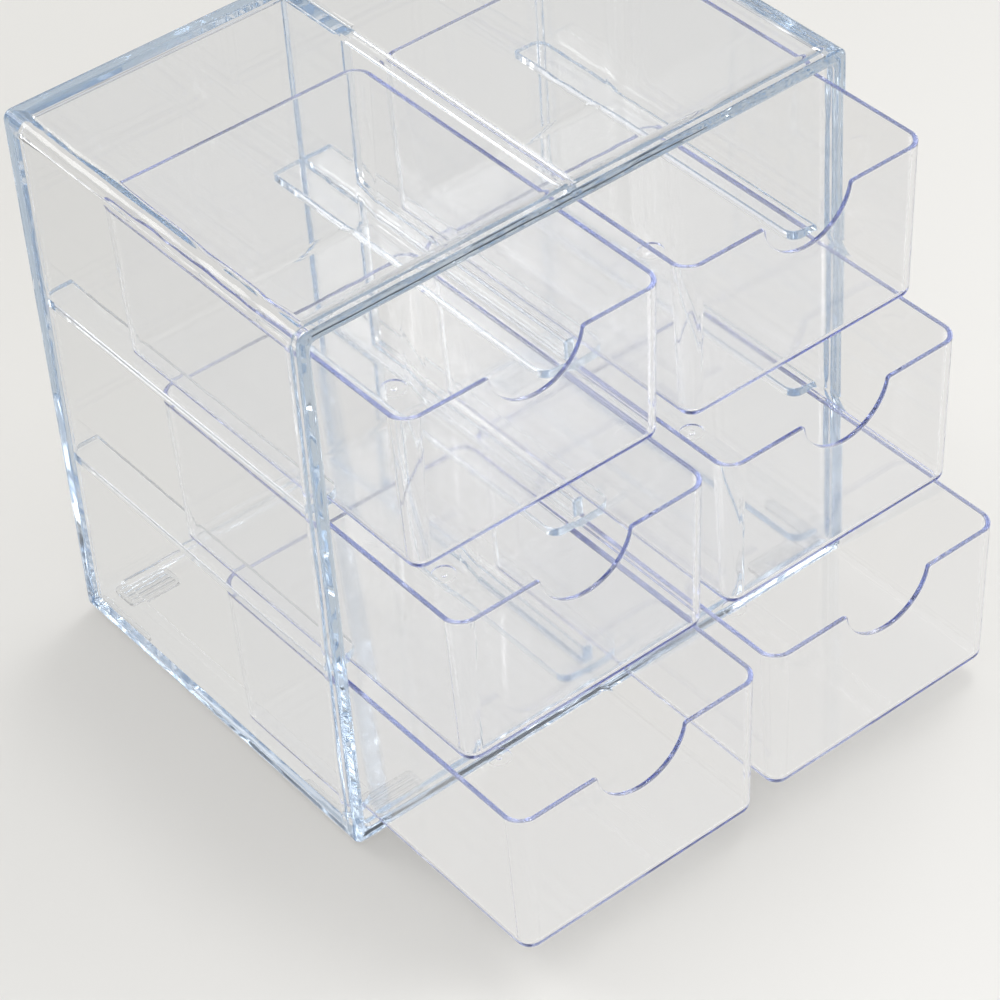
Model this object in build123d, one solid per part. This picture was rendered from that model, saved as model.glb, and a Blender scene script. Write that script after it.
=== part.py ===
from build123d import *

import os

# A clear plastic organizer: an open-fronted case with two columns of three drawers.
# Lengths are in millimetres. X runs to the right across the front, Y to the rear and Z up.
# The origin is on the table, under the middle of the case.

# Driving dimensions of the case
case_width = 180.0
case_depth = 130.5
case_height = 176.6
shell_wall = 4.0
shell_corner_radius = 3.0
shell_inner_radius = 2.0
shell_edge_round = 0.8
shell_rear_round = 1.5
back_thickness = 3.5
back_edge_round = 0.4
bond_gap = 0.1

# Driving dimensions of the short partition between the columns and of the rib under the top
partition_thickness = 3.4
partition_depth = 27.8
partition_nose_round = 1.2
top_rib_height = 3.0
top_rib_setback = 4.5
rib_edge_round = 0.8

# Driving dimensions of the rails
rail_width = 9.5
rail_thickness = 3.0
lower_rail_height = 2.5
rail_setback = 6.5
rail_nose_radius = 4.0
rail_edge_round = 0.5
centre_rib_height = 6.0
centre_rib_setback = 1.5

# Driving dimensions of the feet
foot_length = 17.5
foot_width = 9.5
foot_height = 1.2
foot_corner_radius = 1.5
foot_side_inset = 11.0
foot_end_inset = 2.2
foot_groove_width = 0.9
foot_groove_depth = 0.5
foot_groove_margin = 1.3
foot_groove_count = 4
side_foot_length = 25.0
side_foot_width = 5.0
side_foot_side_inset = 2.6
side_foot_end_inset = 2.2
side_foot_groove_count = 2

# Driving dimensions of the drawers
drawer_wall = 1.4
drawer_floor = 1.5
drawer_draft = 1.5
drawer_corner_radius = 5.9
drawer_base_round = 2.8
drawer_inner_round = 1.5
drawer_rim_round = 0.4
drawer_side_clearance = 0.85
drawer_rear_clearance = 1.5
drawer_headroom = 2.2
slide_clearance = 0.25
notch_radius = 14.8
notch_rise = 1.6
notch_lip_round = 1.0
gate_radius = 3.5
gate_depth = 0.6
gate_nub_radius = 0.8

# How far each drawer is drawn out, as shares of its depth, from the bottom row to the top row
rows = ("bottom", "middle", "top")
left_opening_shares = (0.544, 0.395, 0.273)
right_opening_shares = (0.533, 0.400, 0.283)

# Places in the case that follow from the driving dimensions
case_bottom = foot_height
floor_top = case_bottom + shell_wall
ceiling = case_bottom + case_height - shell_wall
inner_width = case_width - 2 * shell_wall
inner_height = ceiling - floor_top
front_plane = -case_depth / 2
rear_plane = case_depth / 2
back_face = rear_plane - back_thickness
partition_front = back_face - partition_depth
bay_width = (inner_width - partition_thickness) / 2
column_offset = (bay_width + partition_thickness) / 2
row_pitch = (inner_height - lower_rail_height) / len(rows)

# Sizes of the drawers that follow from the bays they slide in
drawer_width = bay_width - 2 * drawer_side_clearance
drawer_depth = case_depth - back_thickness - drawer_rear_clearance
drawer_height = row_pitch - rail_thickness - slide_clearance - drawer_headroom


def rail_top(row):
    """Height of the ledge that carries one row, counted from the bottom row."""
    return floor_top + lower_rail_height + row * row_pitch


def make_outer_shell():
    """The sleeve: top, floor and both side walls in one piece, open at the front and at the rear."""
    profile = RectangleRounded(case_width, case_height, shell_corner_radius)
    profile -= RectangleRounded(inner_width, inner_height, shell_inner_radius)
    sleeve = extrude(Plane.XZ * profile, amount=case_depth / 2, both=True)
    sleeve = fillet(sleeve.faces().sort_by(Axis.Y)[0].edges(), shell_edge_round)
    sleeve = fillet(sleeve.faces().sort_by(Axis.Y)[-1].outer_wire().edges(), shell_rear_round)
    return Pos(0, 0, (floor_top + ceiling) / 2) * sleeve


def make_back_panel():
    """The upright panel set into the rear of the sleeve, flush with its rear edge."""
    outline = RectangleRounded(inner_width - 2 * bond_gap, inner_height - 2 * bond_gap, shell_inner_radius)
    panel = extrude(Plane.XZ * outline, amount=back_thickness / 2, both=True)
    panel = fillet(panel.faces().sort_by(Axis.Y)[-1].edges(), back_edge_round)
    return Pos(0, rear_plane - back_thickness / 2, (floor_top + ceiling) / 2) * panel


def make_rear_partition():
    """The short upright wall that parts the columns at the rear, with a rounded front edge."""
    rear = back_face - bond_gap
    wall = Box(partition_thickness, rear - partition_front, inner_height - 2 * bond_gap)
    wall = fillet(wall.edges().filter_by(Axis.Z).sort_by(Axis.Y)[:2], partition_nose_round)
    return Pos(0, (partition_front + rear) / 2, (floor_top + ceiling) / 2) * wall


def make_top_rib():
    """The low rib that hangs from the top between the upper drawers, and ends at the partition."""
    front = front_plane + top_rib_setback
    rear = partition_front - bond_gap
    top = ceiling - bond_gap
    bottom = ceiling - top_rib_height
    rib = Box(partition_thickness, rear - front, top - bottom)
    rib = fillet(rib.faces().sort_by(Axis.Z)[0].edges().sort_by(Axis.Y)[:-1], rib_edge_round)
    return Pos(0, (front + rear) / 2, (bottom + top) / 2) * rib


def make_centre_rail(row):
    """One centre rail: a ledge for the drawers on both sides, with an upright rib between them.

    The ledge is forked at the rear, where it straddles the partition.
    """
    front = front_plane + rail_setback
    rear = back_face - bond_gap
    top = rail_top(row)
    bottom = floor_top + bond_gap if row == 0 else top - rail_thickness
    middle = (bottom + top) / 2
    ledge = Box(partition_thickness + 2 * rail_width, rear - front, top - bottom)
    ledge = fillet(ledge.edges().filter_by(Axis.Z).sort_by(Axis.Y)[:2], rail_nose_radius)
    ledge = fillet(ledge.faces().sort_by(Axis.Z)[-1].edges().sort_by(Axis.Y)[:-1], rail_edge_round)
    ledge = Pos(0, (front + rear) / 2, middle) * ledge
    slot_front = partition_front - bond_gap
    slot = Box(partition_thickness + 2 * bond_gap, 2 * (rear - slot_front), 2 * rail_thickness)
    ledge -= Pos(0, rear, middle) * slot
    rib_front = front + centre_rib_setback
    rib_top = top + centre_rib_height
    rib = Box(partition_thickness, slot_front - rib_front, rib_top - middle)
    rib = fillet(rib.faces().sort_by(Axis.Z)[-1].edges().sort_by(Axis.Y)[:-1], rib_edge_round)
    return ledge + Pos(0, (rib_front + slot_front) / 2, (middle + rib_top) / 2) * rib


def make_rail(wall_face, outward, row):
    """One ledge standing out from a wall face, with its free front corner and its free upper edge rounded.

    The lowest ledges lie on the floor, and their heel is rounded to clear the sleeve's inner corner.
    """
    front = front_plane + rail_setback
    rear = back_face - bond_gap
    top = rail_top(row)
    bottom = floor_top + bond_gap if row == 0 else top - rail_thickness
    near = wall_face + outward * bond_gap
    far = wall_face + outward * rail_width
    ledge = Box(abs(far - near), rear - front, top - bottom)
    ledge = Pos((near + far) / 2, (front + rear) / 2, (bottom + top) / 2) * ledge
    front_corners = ledge.edges().filter_by(Axis.Z).sort_by(Axis.Y)[:2]
    ledge = fillet(front_corners.sort_by(Axis.X)[-1 if outward > 0 else 0], rail_nose_radius)
    if row == 0:
        lower_edges = ledge.faces().sort_by(Axis.Z)[0].edges().filter_by(Axis.Y).sort_by(Axis.X)
        ledge = fillet(lower_edges[0 if outward > 0 else -1], shell_inner_radius)
    upper_edges = ledge.faces().sort_by(Axis.Z)[-1].edges()
    free_edges = upper_edges.sort_by(Axis.Y)[:-1].sort_by(Axis.X)
    free_edges = free_edges[1:] if outward > 0 else free_edges[:-1]
    return fillet(free_edges, rail_edge_round)


def make_foot(side, end):
    """One low pad under the floor, with closed grooves in its underside."""
    outline = RectangleRounded(foot_length, foot_width, foot_corner_radius)
    pad = extrude(outline, amount=foot_height - bond_gap)
    groove = Box(foot_length - 2 * foot_groove_margin, foot_groove_width, 2 * foot_groove_depth)
    groove_pitch = foot_width / (foot_groove_count + 1)
    for place in GridLocations(foot_length, groove_pitch, 1, foot_groove_count):
        pad -= place * groove
    across = case_width / 2 - foot_side_inset - foot_length / 2
    along = case_depth / 2 - foot_end_inset - foot_width / 2
    return Pos(side * across, end * along, 0) * pad


def make_side_foot(side, end):
    """One narrow pad under the edge of a side wall, with closed grooves along it."""
    outline = RectangleRounded(side_foot_width, side_foot_length, foot_corner_radius)
    pad = extrude(outline, amount=foot_height - bond_gap)
    groove = Box(foot_groove_width, side_foot_length - 2 * foot_groove_margin, 2 * foot_groove_depth)
    groove_pitch = side_foot_width / (side_foot_groove_count + 1)
    for place in GridLocations(groove_pitch, side_foot_length, side_foot_groove_count, 1):
        pad -= place * groove
    across = case_width / 2 - side_foot_side_inset - side_foot_width / 2
    along = case_depth / 2 - side_foot_end_inset - side_foot_length / 2
    return Pos(side * across, end * along, 0) * pad


def drawer_section(height, inset):
    """The drawer's rounded outline at one height above its underside, drawn in by an inset."""
    narrowing = inset + drawer_draft * (1 - height / drawer_height)
    width = drawer_width - 2 * narrowing
    depth = drawer_depth - 2 * narrowing
    return Pos(0, 0, height) * RectangleRounded(width, depth, drawer_corner_radius - narrowing)


def make_drawer():
    """One tub: tapered walls, a rounded finger notch in the front and a moulding mark under the floor."""
    tub = loft([drawer_section(0, 0), drawer_section(drawer_height, 0)], ruled=True)
    hollow_top = drawer_height + drawer_wall
    hollow = [drawer_section(drawer_floor, drawer_wall), drawer_section(hollow_top, drawer_wall)]
    tub -= loft(hollow, ruled=True)
    levels = tub.faces().filter_by(Plane.XY).sort_by(Axis.Z)
    tub = fillet(levels[0].edges(), drawer_base_round)
    levels = tub.faces().filter_by(Plane.XY).sort_by(Axis.Z)
    tub = fillet(levels[1].edges(), drawer_inner_round)
    notch = Rot(90, 0, 0) * Cylinder(notch_radius, 2 * drawer_corner_radius)
    tub -= Pos(0, -drawer_depth / 2, drawer_height + notch_rise) * notch
    rim = tub.faces().filter_by(Plane.XY).sort_by(Axis.Z)[-1]
    lips = [edge for edge in rim.edges().filter_by(Axis.Y) if abs(edge.center().X) < notch_radius]
    tub = fillet(lips, notch_lip_round)
    rim = tub.faces().filter_by(Plane.XY).sort_by(Axis.Z)[-1]
    tub = fillet(rim.edges(), drawer_rim_round)
    mark = Cylinder(gate_radius, 2 * gate_depth) - Cylinder(gate_nub_radius, 2 * gate_depth)
    return tub - mark


def place_drawer(drawer, side, row, opening_share):
    """Stands a drawer on its rails, drawn out of the case by its share of the drawer's depth."""
    opening = opening_share * drawer_depth
    middle = front_plane + drawer_depth / 2 - opening
    return Pos(side * column_offset, middle, rail_top(row) + slide_clearance) * drawer


def make_pieces():
    """Every piece of the organizer in its place, by name."""
    pieces = {
        "outer_shell": make_outer_shell(),
        "back_panel": make_back_panel(),
        "rear_partition": make_rear_partition(),
        "top_rib": make_top_rib(),
    }
    for row, level in enumerate(("lower", "middle", "upper")):
        pieces[f"left_wall_{level}_rail"] = make_rail(-inner_width / 2, 1, row)
        pieces[f"centre_{level}_rail"] = make_centre_rail(row)
        pieces[f"right_wall_{level}_rail"] = make_rail(inner_width / 2, -1, row)
    for end_name, end in (("front", -1), ("rear", 1)):
        for side_name, side in (("left", -1), ("right", 1)):
            pieces[f"{end_name}_{side_name}_foot"] = make_foot(side, end)
            pieces[f"{end_name}_{side_name}_side_foot"] = make_side_foot(side, end)
    drawer = make_drawer()
    for row, row_name in enumerate(rows):
        pieces[f"{row_name}_left_drawer"] = place_drawer(drawer, -1, row, left_opening_shares[row])
        pieces[f"{row_name}_right_drawer"] = place_drawer(drawer, 1, row, right_opening_shares[row])
    return pieces


os.makedirs("parts", exist_ok=True)
for name, piece in make_pieces().items():
    export_step(piece, f"parts/{name}.step")
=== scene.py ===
import math

import bmesh
import bpy
from mathutils import Matrix, Vector


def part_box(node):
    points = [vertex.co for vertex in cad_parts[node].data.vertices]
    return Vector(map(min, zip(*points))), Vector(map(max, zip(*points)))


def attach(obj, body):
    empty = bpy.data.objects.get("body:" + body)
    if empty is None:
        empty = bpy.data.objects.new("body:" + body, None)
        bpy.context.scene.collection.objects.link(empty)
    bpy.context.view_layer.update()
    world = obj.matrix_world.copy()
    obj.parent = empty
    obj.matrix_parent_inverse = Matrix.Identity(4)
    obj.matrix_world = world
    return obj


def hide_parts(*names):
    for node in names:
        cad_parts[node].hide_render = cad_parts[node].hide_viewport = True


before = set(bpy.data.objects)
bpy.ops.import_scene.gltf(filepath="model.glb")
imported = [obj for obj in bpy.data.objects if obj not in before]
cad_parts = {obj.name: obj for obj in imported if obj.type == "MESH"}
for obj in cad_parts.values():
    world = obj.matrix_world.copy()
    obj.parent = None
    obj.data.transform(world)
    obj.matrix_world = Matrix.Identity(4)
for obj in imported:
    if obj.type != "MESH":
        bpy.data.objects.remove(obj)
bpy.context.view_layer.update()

# The photograph's own camera, found from the edges of the case. Lengths are in metres.
camera_place = Vector((-0.45325, -0.64032, 0.71231))
camera_forward = Vector((0.44509, 0.60918, -0.65635))
camera_right = Vector((0.77673, -0.62738, -0.05557))
camera_lens_mm = 129.7
sensor_width_mm = 36.0

# The table, and the shares of its own glow in what the camera sees openly and through plastic
floor_size = 8.0
floor_drop = 0.0002
# Painted light: the table's colour fades from a darker back to a lighter front, standing in for how the
# room's light falls on it
floor_far_painted_shade_colour = (0.635, 0.626, 0.603)
floor_near_painted_light_colour = (0.790, 0.780, 0.757)
floor_painted_light_way = Vector((0.10, -0.995, 0.0))
floor_painted_light_half = 0.25
open_glow_share = 0.49
clear_glow_share = 0.94
floor_glow_strength = 1.07

# The room: each fade is the start and the end of a light, as the cosine of the angle from its way
up_way = Vector((0, 0, 1))
horizon_colour = (0.09, 0.095, 0.105)
room_colour = (0.80, 0.81, 0.83)
room_fade = (0.08, 0.55)
softbox_way = Vector((0.20, 0.10, 0.97)).normalized()
softbox_colour = (1.40, 1.40, 1.38)
softbox_fade = (0.84, 0.95)
window_ways = (Vector((0.84, -0.34, 0.42)), Vector((0.84, 0.34, 0.42)), Vector((-0.32, 0.80, 0.50)))
window_colour = (5.00, 4.97, 4.92)
window_fade = (0.950, 0.982)
sun_way = Vector((0.22, 0.02, 0.97)).normalized()
sun_strength = 0.70
sun_spread_degrees = 12.0

# The bonded case, in metres
bond_gap = 0.0001
shell_wall = 0.004
shell_corner = 0.003
front_round = 0.0008
rear_round = 0.0015
bay_corner = 0.0020
bay_rear_round = 0.0040
partition_nose = 0.0012
partition_root = 0.0008
rib_round = 0.0008
rib_setback = 0.0015
rail_nose = 0.0040
rail_round = 0.0005
embed = 0.0010
sliver = 0.00002
least_radius = 0.0002
weld_distance = 1e-7
flare_overrun_share = 1.2
bay_reach_share = 4
ledge_overlap_share = 0.5
corner_steps = 10
round_steps = 8
sharp_angle_degrees = 35

# The plastics of the case and the drawers, with a tint that shows in their depth
case_look = {
    "ior": 1.51,
    "absorption_colour": (0.33, 0.54, 0.75),
    "absorption_density": 4.2,
    "wave_scale": 110.0,
    "wave_height": 0.000015,
    "haze": 0.02,
}
drawer_look = {
    "ior": 1.50,
    "absorption_colour": (0.36, 0.45, 0.82),
    "absorption_density": 7.5,
    "wave_scale": 60.0,
    "wave_height": 0.00001,
    "haze": 0.05,
}
white = (1.0, 1.0, 1.0, 1.0)
full_strength = 1.0
wave_detail = 1.0
haze_scale = 25.0
haze_detail = 2.0
haze_noise_range = (0.3, 0.7)
clear_haze_share = 0.5

# The unevenness of the case's outer edges
ripple_reach = 0.0055
ripple_scale = 50.0
ripple_detail = 1.0
ripple_height = 0.0014

# The feet
foot_ior = 1.50
foot_noise_scale = 400.0
foot_noise_detail = 3.0
foot_tint = (0.95, 0.96, 0.97, 1.0)
foot_roughness_range = (0.10, 0.35)

# Light has to pass many walls of clear plastic, and few rough ones
clear_bounces = 128
diffuse_bounces = 3

scene = bpy.context.scene
scene.view_settings.view_transform = "Standard"
scene.cycles.max_bounces = clear_bounces
scene.cycles.transmission_bounces = clear_bounces
scene.cycles.glossy_bounces = clear_bounces
scene.cycles.diffuse_bounces = diffuse_bounces


def quarter_angle(step, steps):
    """The angle of one step on a quarter turn."""
    return math.radians(90 * step / steps)


def rounded_loop(low, high, radius, inset, y):
    """A rounded rectangle that stands across Y, drawn in by an inset."""
    reach = max(radius - inset, least_radius)
    points = []
    for right, upper, turn in ((1, 1, 0), (0, 1, 1), (0, 0, 2), (1, 0, 3)):
        x = high.x - inset - reach if right else low.x + inset + reach
        z = high.z - inset - reach if upper else low.z + inset + reach
        for step in range(corner_steps + 1):
            angle = quarter_angle(turn * corner_steps + step, corner_steps)
            points.append((x + reach * math.cos(angle), y, z + reach * math.sin(angle)))
    return points


def stretch(name, loops):
    """A closed mesh stretched over a row of loops that have as many points each."""
    count = len(loops[0])
    points = [point for loop in loops for point in loop]
    faces = [tuple(range(count)), tuple(range(len(points) - count, len(points)))]
    for row in range(len(loops) - 1):
        for k in range(count):
            a = row * count + k
            b = row * count + (k + 1) % count
            faces.append((a, b, b + count, a + count))
    mesh = bpy.data.meshes.new(name)
    mesh.from_pydata(points, [], faces)
    work = bmesh.new()
    work.from_mesh(mesh)
    bmesh.ops.recalc_face_normals(work, faces=work.faces)
    work.to_mesh(mesh)
    work.free()
    piece = bpy.data.objects.new(name, mesh)
    scene.collection.objects.link(piece)
    return piece


def rear_loops(low, high, radius, rear):
    """The loops that round a block off at its rear."""
    loops = []
    for step in range(round_steps, -1, -1):
        angle = quarter_angle(step, round_steps)
        inset = rear * (1 - math.sin(angle))
        loops.append(rounded_loop(low, high, radius, inset, high.y - rear * (1 - math.cos(angle))))
    return loops


def rounded_block(name, low, high, radius, front, rear):
    """A block with rounded long edges along Y, and rounded edges at its front and rear."""
    loops = []
    for step in range(round_steps + 1 if front else 1):
        angle = quarter_angle(step, round_steps)
        inset = front * (1 - math.sin(angle))
        loops.append(rounded_loop(low, high, radius, inset, low.y + front * (1 - math.cos(angle))))
    return stretch(name, loops + rear_loops(low, high, radius, rear))


def flared_block(name, low, high, radius, flare, rear):
    """A cutter like a rounded block, whose open front widens so that the lip it leaves is rounded."""
    loops = [rounded_loop(low, high, radius, -flare_overrun_share * flare, low.y - flare)]
    for step in range(round_steps - 1, -1, -1):
        angle = quarter_angle(step, round_steps)
        widening = flare * (1 - math.cos(angle))
        loops.append(rounded_loop(low, high, radius, -widening, low.y + flare * (1 - math.sin(angle))))
    return stretch(name, loops + rear_loops(low, high, radius, rear))


def combine(piece, other, operation):
    """Joins another closed mesh to a piece, or cuts it away, and removes it."""
    modifier = piece.modifiers.new("combine", "BOOLEAN")
    modifier.operation = operation
    modifier.solver = "EXACT"
    modifier.object = other
    shaped = piece.evaluated_get(bpy.context.evaluated_depsgraph_get())
    mesh = bpy.data.meshes.new_from_object(shaped)
    piece.modifiers.clear()
    piece.data = mesh
    bpy.data.objects.remove(other)


def ledge_block(name, near, far, front, rear, bottom, top):
    """A ledge that stands out from near to far, with a rounded nose and rounded free edges."""
    outward = 1 if far > near else -1

    def plan(inset, z):
        nose = rail_nose - inset
        points = [(near, rear, z), (near, front + inset, z)]
        for step in range(corner_steps + 1):
            angle = quarter_angle(step, corner_steps)
            points.append((far - outward * (rail_nose - nose * math.sin(angle)),
                           front + rail_nose - nose * math.cos(angle), z))
        points.append((far - outward * inset, rear, z))
        return points

    insets = []
    rises = []
    for step in range(round_steps + 1):
        angle = quarter_angle(step, round_steps)
        insets.append(rail_round * (1 - math.sin(angle)))
        rises.append(rail_round * (1 - math.cos(angle)))
    loops = [plan(inset, bottom + rise) for inset, rise in zip(insets, rises)]
    loops += [plan(inset, top - rise) for inset, rise in zip(reversed(insets), reversed(rises))]
    return stretch(name + "_block", loops)


def wall_rail_block(name):
    """One rail of a side wall, let into the wall and the back."""
    low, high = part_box(name)
    near, far = (low.x, high.x) if name.startswith("left") else (high.x, low.x)
    near -= math.copysign(bond_gap + embed, far - near)
    bottom = low.z - bond_gap - embed if "lower" in name else low.z
    return ledge_block(name, near, far, low.y, high.y + bond_gap + embed, bottom, high.z)


def add_centre_rail(case, name):
    """Joins one centre rail to the case: a ledge on each side, and the upright rib between them."""
    low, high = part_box(name)
    ledge_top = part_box(name.replace("centre", "left_wall"))[1].z
    bottom = low.z - bond_gap - embed if "lower" in name else low.z
    rear = high.y + bond_gap + embed
    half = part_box("rear_partition")[1].x
    for far in (low.x, high.x):
        near = -math.copysign(ledge_overlap_share * half, far)
        combine(case, ledge_block(name, near, far, low.y, rear, bottom, ledge_top), "UNION")
    rib_low = Vector((-half, low.y + rib_setback, ledge_top - embed))
    rib_high = Vector((half, rear, high.z))
    combine(case, rounded_block("rib", rib_low, rib_high, rib_round, rib_round, 0), "UNION")


def make_partition(back_face, floor_top, ceiling):
    """The short wall between the columns at the rear, which flares into the floor, the top and the back."""
    low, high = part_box("rear_partition")
    half = high.x
    flank = half + bay_corner
    block_low = Vector((-flank, low.y, floor_top - embed))
    block_high = Vector((flank, back_face + embed, ceiling + embed))
    block = rounded_block("partition", block_low, block_high, least_radius, 0, 0)
    for side in (-1, 1):
        inner = side * half
        outer = side * bay_reach_share * flank
        bay_low = Vector((min(inner, outer), low.y, floor_top - sliver))
        bay_high = Vector((max(inner, outer), back_face + sliver, ceiling + sliver))
        bay = flared_block("bay", bay_low, bay_high, bay_corner, partition_nose, partition_root)
        combine(block, bay, "DIFFERENCE")
    return block


def make_top_rib(back_face):
    """The low rib under the top, between the upper drawers."""
    low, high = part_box("top_rib")
    rib_high = Vector((high.x, back_face + embed, high.z + bond_gap + embed))
    return rounded_block("top_rib_block", low, rib_high, rib_round, rib_round, 0)


def clean_mesh(piece):
    """Welds what the joins leave doubled, and shades the rounded edges smooth."""
    work = bmesh.new()
    work.from_mesh(piece.data)
    bmesh.ops.remove_doubles(work, verts=work.verts, dist=weld_distance)
    bmesh.ops.dissolve_degenerate(work, edges=work.edges, dist=weld_distance)
    work.to_mesh(piece.data)
    work.free()
    piece.data.shade_smooth()
    piece.data.set_sharp_from_angle(angle=math.radians(sharp_angle_degrees))
    weigh = piece.modifiers.new("weigh", "WEIGHTED_NORMAL")
    weigh.keep_sharp = True


def make_case():
    """The case as the bonds leave it: one clear body of sleeve, back, partition, rib and rails."""
    low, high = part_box("outer_shell")
    back_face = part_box("back_panel")[0].y
    cavity_low = low + Vector((shell_wall, 0, shell_wall))
    cavity_high = Vector((high.x - shell_wall, back_face, high.z - shell_wall))
    case = rounded_block("bonded_case", low, high, shell_corner, front_round, rear_round)
    cavity = flared_block("cavity", cavity_low, cavity_high, bay_corner, front_round, bay_rear_round)
    combine(case, cavity, "DIFFERENCE")
    combine(case, make_partition(back_face, cavity_low.z, cavity_high.z), "UNION")
    combine(case, make_top_rib(back_face), "UNION")
    rails = [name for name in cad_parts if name.endswith("rail")]
    for name in rails:
        if name.startswith("centre"):
            add_centre_rail(case, name)
        else:
            combine(case, wall_rail_block(name), "UNION")
    clean_mesh(case)
    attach(case, "case")
    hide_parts("outer_shell", "back_panel", "rear_partition", "top_rib", *rails)
    return case


def new_material(name):
    """A node material with an empty tree and its output node."""
    material = bpy.data.materials.new(name)
    material.use_nodes = True
    tree = material.node_tree
    tree.nodes.clear()
    output = tree.nodes.new("ShaderNodeOutputMaterial")
    return material, tree, output


def add_noise(tree, coords, scale, detail):
    """A noise over the surface, in the object's own coordinates."""
    noise = tree.nodes.new("ShaderNodeTexNoise")
    noise.inputs["Scale"].default_value = scale
    noise.inputs["Detail"].default_value = detail
    tree.links.new(coords.outputs["Object"], noise.inputs["Vector"])
    return noise.outputs["Fac"]


def add_bump(tree, height, distance):
    """A bump of a given height."""
    bump = tree.nodes.new("ShaderNodeBump")
    bump.inputs["Strength"].default_value = full_strength
    bump.inputs["Distance"].default_value = distance
    tree.links.new(height, bump.inputs["Height"])
    return bump


def clear_plastic(name, ior, absorption_colour, absorption_density, wave_scale, wave_height, haze):
    """A clear moulded plastic with faint flow waves and patches of haze, and its own tint in the depth."""
    material, tree, output = new_material(name)
    shader = tree.nodes.new("ShaderNodeBsdfPrincipled")
    shader.inputs["Base Color"].default_value = white
    shader.inputs["Transmission Weight"].default_value = full_strength
    shader.inputs["IOR"].default_value = ior
    coords = tree.nodes.new("ShaderNodeTexCoord")
    clouding = tree.nodes.new("ShaderNodeMapRange")
    clouding.inputs["From Min"].default_value = haze_noise_range[0]
    clouding.inputs["From Max"].default_value = haze_noise_range[1]
    clouding.inputs["To Min"].default_value = clear_haze_share * haze
    clouding.inputs["To Max"].default_value = haze
    tree.links.new(add_noise(tree, coords, haze_scale, haze_detail), clouding.inputs["Value"])
    tree.links.new(clouding.outputs["Result"], shader.inputs["Roughness"])
    bump = add_bump(tree, add_noise(tree, coords, wave_scale, wave_detail), wave_height)
    tree.links.new(bump.outputs["Normal"], shader.inputs["Normal"])
    tree.links.new(shader.outputs["BSDF"], output.inputs["Surface"])
    volume = tree.nodes.new("ShaderNodeVolumeAbsorption")
    volume.inputs["Color"].default_value = (*absorption_colour, 1.0)
    volume.inputs["Density"].default_value = absorption_density
    tree.links.new(volume.outputs["Volume"], output.inputs["Volume"])
    return material


def add_edge_ripples(material, low, high):
    """Makes the outer edges of the case uneven, as the mould leaves them, and leaves its flat walls even."""
    tree = material.node_tree
    shader = tree.nodes["Principled BSDF"]
    flow = shader.inputs["Normal"].links[0].from_socket
    coords = tree.nodes.new("ShaderNodeTexCoord")
    centred = tree.nodes.new("ShaderNodeVectorMath")
    centred.operation = "SUBTRACT"
    centred.inputs[1].default_value = (low + high) / 2
    tree.links.new(coords.outputs["Object"], centred.inputs[0])
    sized = tree.nodes.new("ShaderNodeVectorMath")
    sized.operation = "ABSOLUTE"
    tree.links.new(centred.outputs["Vector"], sized.inputs[0])
    depth = tree.nodes.new("ShaderNodeVectorMath")
    depth.operation = "SUBTRACT"
    depth.inputs[0].default_value = (high - low) / 2
    tree.links.new(sized.outputs["Vector"], depth.inputs[1])
    split = tree.nodes.new("ShaderNodeSeparateXYZ")
    tree.links.new(depth.outputs["Vector"], split.inputs["Vector"])

    def pick(operation, first, second):
        node = tree.nodes.new("ShaderNodeMath")
        node.operation = operation
        tree.links.new(first, node.inputs[0])
        tree.links.new(second, node.inputs[1])
        return node.outputs[0]

    less = pick("MINIMUM", split.outputs["X"], split.outputs["Y"])
    more = pick("MAXIMUM", split.outputs["X"], split.outputs["Y"])
    second_depth = pick("MAXIMUM", less, pick("MINIMUM", more, split.outputs["Z"]))
    near_edge = tree.nodes.new("ShaderNodeMapRange")
    near_edge.interpolation_type = "SMOOTHSTEP"
    near_edge.inputs["From Min"].default_value = ripple_reach
    near_edge.inputs["From Max"].default_value = ripple_reach / 2
    tree.links.new(second_depth, near_edge.inputs["Value"])
    ripples = add_noise(tree, coords, ripple_scale, ripple_detail)
    bump = add_bump(tree, pick("MULTIPLY", ripples, near_edge.outputs["Result"]), ripple_height)
    tree.links.new(flow, bump.inputs["Normal"])
    tree.links.new(bump.outputs["Normal"], shader.inputs["Normal"])


def ribbed_plastic(name):
    """A clear plastic for the feet, made uneven and milky by its ribs."""
    material, tree, output = new_material(name)
    shader = tree.nodes.new("ShaderNodeBsdfPrincipled")
    shader.inputs["Transmission Weight"].default_value = full_strength
    shader.inputs["IOR"].default_value = foot_ior
    coords = tree.nodes.new("ShaderNodeTexCoord")
    cloud = add_noise(tree, coords, foot_noise_scale, foot_noise_detail)
    tint = tree.nodes.new("ShaderNodeMix")
    tint.data_type = "RGBA"
    tint.inputs["A"].default_value = foot_tint
    tint.inputs["B"].default_value = white
    tree.links.new(cloud, tint.inputs["Factor"])
    tree.links.new(tint.outputs["Result"], shader.inputs["Base Color"])
    haze = tree.nodes.new("ShaderNodeMapRange")
    haze.inputs["To Min"].default_value = foot_roughness_range[0]
    haze.inputs["To Max"].default_value = foot_roughness_range[1]
    tree.links.new(cloud, haze.inputs["Value"])
    tree.links.new(haze.outputs["Result"], shader.inputs["Roughness"])
    tree.links.new(shader.outputs["BSDF"], output.inputs["Surface"])
    return material


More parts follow.
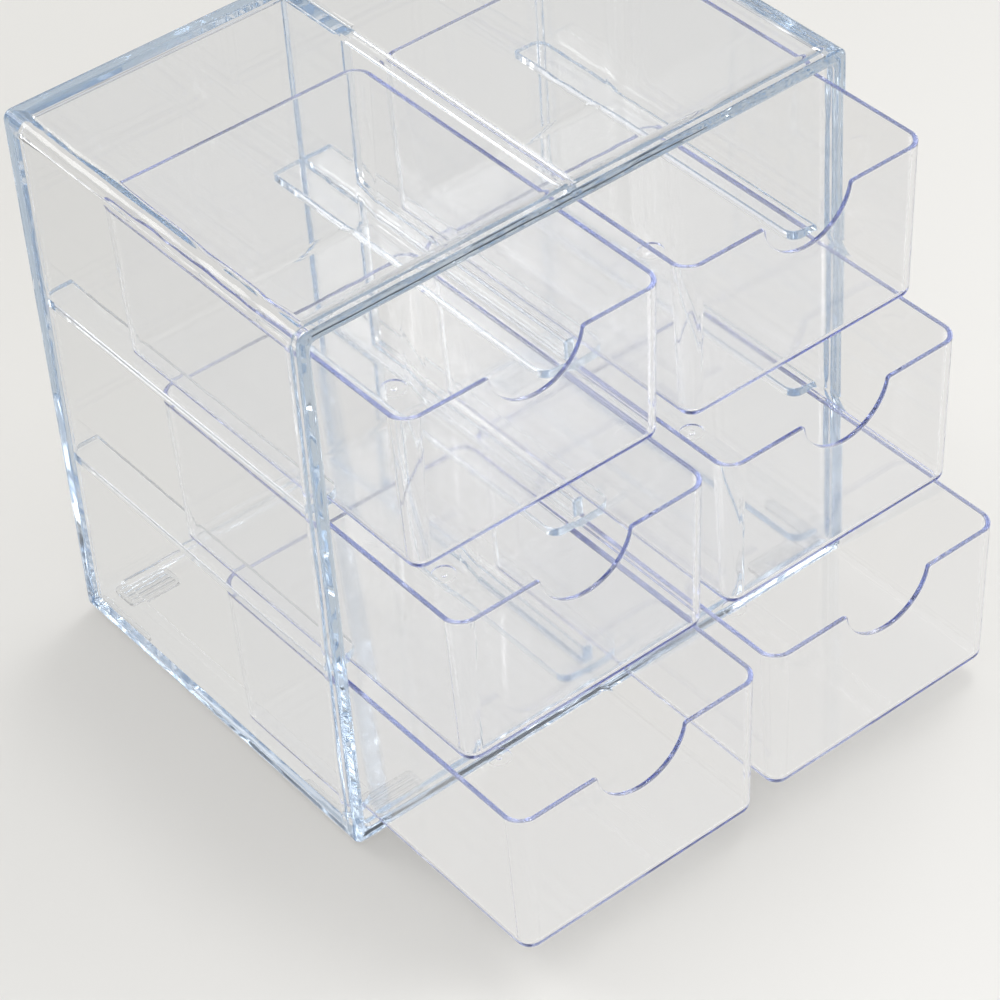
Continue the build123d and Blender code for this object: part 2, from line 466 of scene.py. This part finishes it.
def make_floor():
    """The plain pale table, with painted light that makes it a little lighter towards the front and darker
    towards the back, which keeps part of the object's shadow.
    """
    material, tree, output = new_material("table")
    coords = tree.nodes.new("ShaderNodeTexCoord")
    across = tree.nodes.new("ShaderNodeVectorMath")
    across.operation = "DOT_PRODUCT"
    across.inputs[1].default_value = floor_painted_light_way
    tree.links.new(coords.outputs["Object"], across.inputs[0])
    fade = tree.nodes.new("ShaderNodeMapRange")
    fade.inputs["From Min"].default_value = -floor_painted_light_half
    fade.inputs["From Max"].default_value = floor_painted_light_half
    tree.links.new(across.outputs["Value"], fade.inputs["Value"])
    # Painted light: the colour, and so the glow, is darker at the back and lighter at the front
    colour = tree.nodes.new("ShaderNodeMix")
    colour.data_type = "RGBA"
    colour.inputs["A"].default_value = (*floor_far_painted_shade_colour, 1.0)
    colour.inputs["B"].default_value = (*floor_near_painted_light_colour, 1.0)
    tree.links.new(fade.outputs["Result"], colour.inputs["Factor"])
    shade = tree.nodes.new("ShaderNodeBsdfDiffuse")
    tree.links.new(colour.outputs["Result"], shade.inputs["Color"])
    glow = tree.nodes.new("ShaderNodeEmission")
    glow.inputs["Strength"].default_value = floor_glow_strength
    tree.links.new(colour.outputs["Result"], glow.inputs["Color"])
    path = tree.nodes.new("ShaderNodeLightPath")
    clear_rays = tree.nodes.new("ShaderNodeMath")
    clear_rays.operation = "MAXIMUM"
    tree.links.new(path.outputs["Is Glossy Ray"], clear_rays.inputs[0])
    tree.links.new(path.outputs["Is Transmission Ray"], clear_rays.inputs[1])
    open_share = tree.nodes.new("ShaderNodeMath")
    open_share.operation = "MULTIPLY"
    open_share.inputs[1].default_value = open_glow_share
    tree.links.new(path.outputs["Is Camera Ray"], open_share.inputs[0])
    share = tree.nodes.new("ShaderNodeMath")
    share.operation = "MULTIPLY_ADD"
    share.inputs[1].default_value = clear_glow_share
    tree.links.new(clear_rays.outputs[0], share.inputs[0])
    tree.links.new(open_share.outputs[0], share.inputs[2])
    mix = tree.nodes.new("ShaderNodeMixShader")
    tree.links.new(share.outputs[0], mix.inputs["Fac"])
    tree.links.new(shade.outputs["BSDF"], mix.inputs[1])
    tree.links.new(glow.outputs["Emission"], mix.inputs[2])
    tree.links.new(mix.outputs["Shader"], output.inputs["Surface"])
    bpy.ops.mesh.primitive_plane_add(size=floor_size, location=(0, 0, -floor_drop))
    floor = bpy.context.object
    floor.name = "table"
    floor.data.materials.append(material)


def make_world():
    """A pale room with a dim horizon, a soft light overhead and three small windows."""
    world = bpy.data.worlds.new("room")
    scene.world = world
    world.use_nodes = True
    tree = world.node_tree
    tree.nodes.clear()
    output = tree.nodes.new("ShaderNodeOutputWorld")
    background = tree.nodes.new("ShaderNodeBackground")
    coords = tree.nodes.new("ShaderNodeTexCoord")

    def blend(way, fade, first, second):
        """Fades from one colour to another as the direction comes nearer to a way."""
        facing = tree.nodes.new("ShaderNodeVectorMath")
        facing.operation = "DOT_PRODUCT"
        facing.inputs[1].default_value = way
        tree.links.new(coords.outputs["Generated"], facing.inputs[0])
        ramp = tree.nodes.new("ShaderNodeMapRange")
        ramp.interpolation_type = "SMOOTHSTEP"
        ramp.inputs["From Min"].default_value = fade[0]
        ramp.inputs["From Max"].default_value = fade[1]
        tree.links.new(facing.outputs["Value"], ramp.inputs["Value"])
        mix = tree.nodes.new("ShaderNodeMix")
        mix.data_type = "RGBA"
        mix.inputs["B"].default_value = (*second, 1.0)
        tree.links.new(ramp.outputs["Result"], mix.inputs["Factor"])
        if isinstance(first, tuple):
            mix.inputs["A"].default_value = (*first, 1.0)
        else:
            tree.links.new(first, mix.inputs["A"])
        return mix.outputs["Result"]

    sky = blend(up_way, room_fade, horizon_colour, room_colour)
    sky = blend(softbox_way, softbox_fade, sky, softbox_colour)
    for way in window_ways:
        sky = blend(way.normalized(), window_fade, sky, window_colour)
    tree.links.new(sky, background.inputs["Color"])
    tree.links.new(background.outputs["Background"], output.inputs["Surface"])


def make_sun():
    """A soft light from high at the right, which gives the short shadows at the left."""
    data = bpy.data.lights.new("daylight", "SUN")
    data.energy = sun_strength
    data.angle = math.radians(sun_spread_degrees)
    sun = bpy.data.objects.new("daylight", data)
    sun.rotation_euler = sun_way.to_track_quat("Z", "Y").to_euler()
    scene.collection.objects.link(sun)


def make_camera():
    """The photograph's own view."""
    data = bpy.data.cameras.new("camera")
    data.lens = camera_lens_mm
    data.sensor_width = sensor_width_mm
    camera = bpy.data.objects.new("camera", data)
    up = camera_right.cross(camera_forward)
    turn = Matrix((camera_right, up, -camera_forward)).transposed()
    camera.matrix_world = Matrix.Translation(camera_place) @ turn.to_4x4()
    scene.collection.objects.link(camera)
    scene.camera = camera


make_floor()
make_world()
make_sun()
make_camera()

case_plastic = clear_plastic("clear_case", **case_look)
add_edge_ripples(case_plastic, *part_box("outer_shell"))
drawer_plastic = clear_plastic("clear_drawer", **drawer_look)
foot_plastic = ribbed_plastic("clear_foot")
for name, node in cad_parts.items():
    node.material_slots[0].material = foot_plastic if name.endswith("foot") else drawer_plastic
case = make_case()
case.data.materials.append(case_plastic)
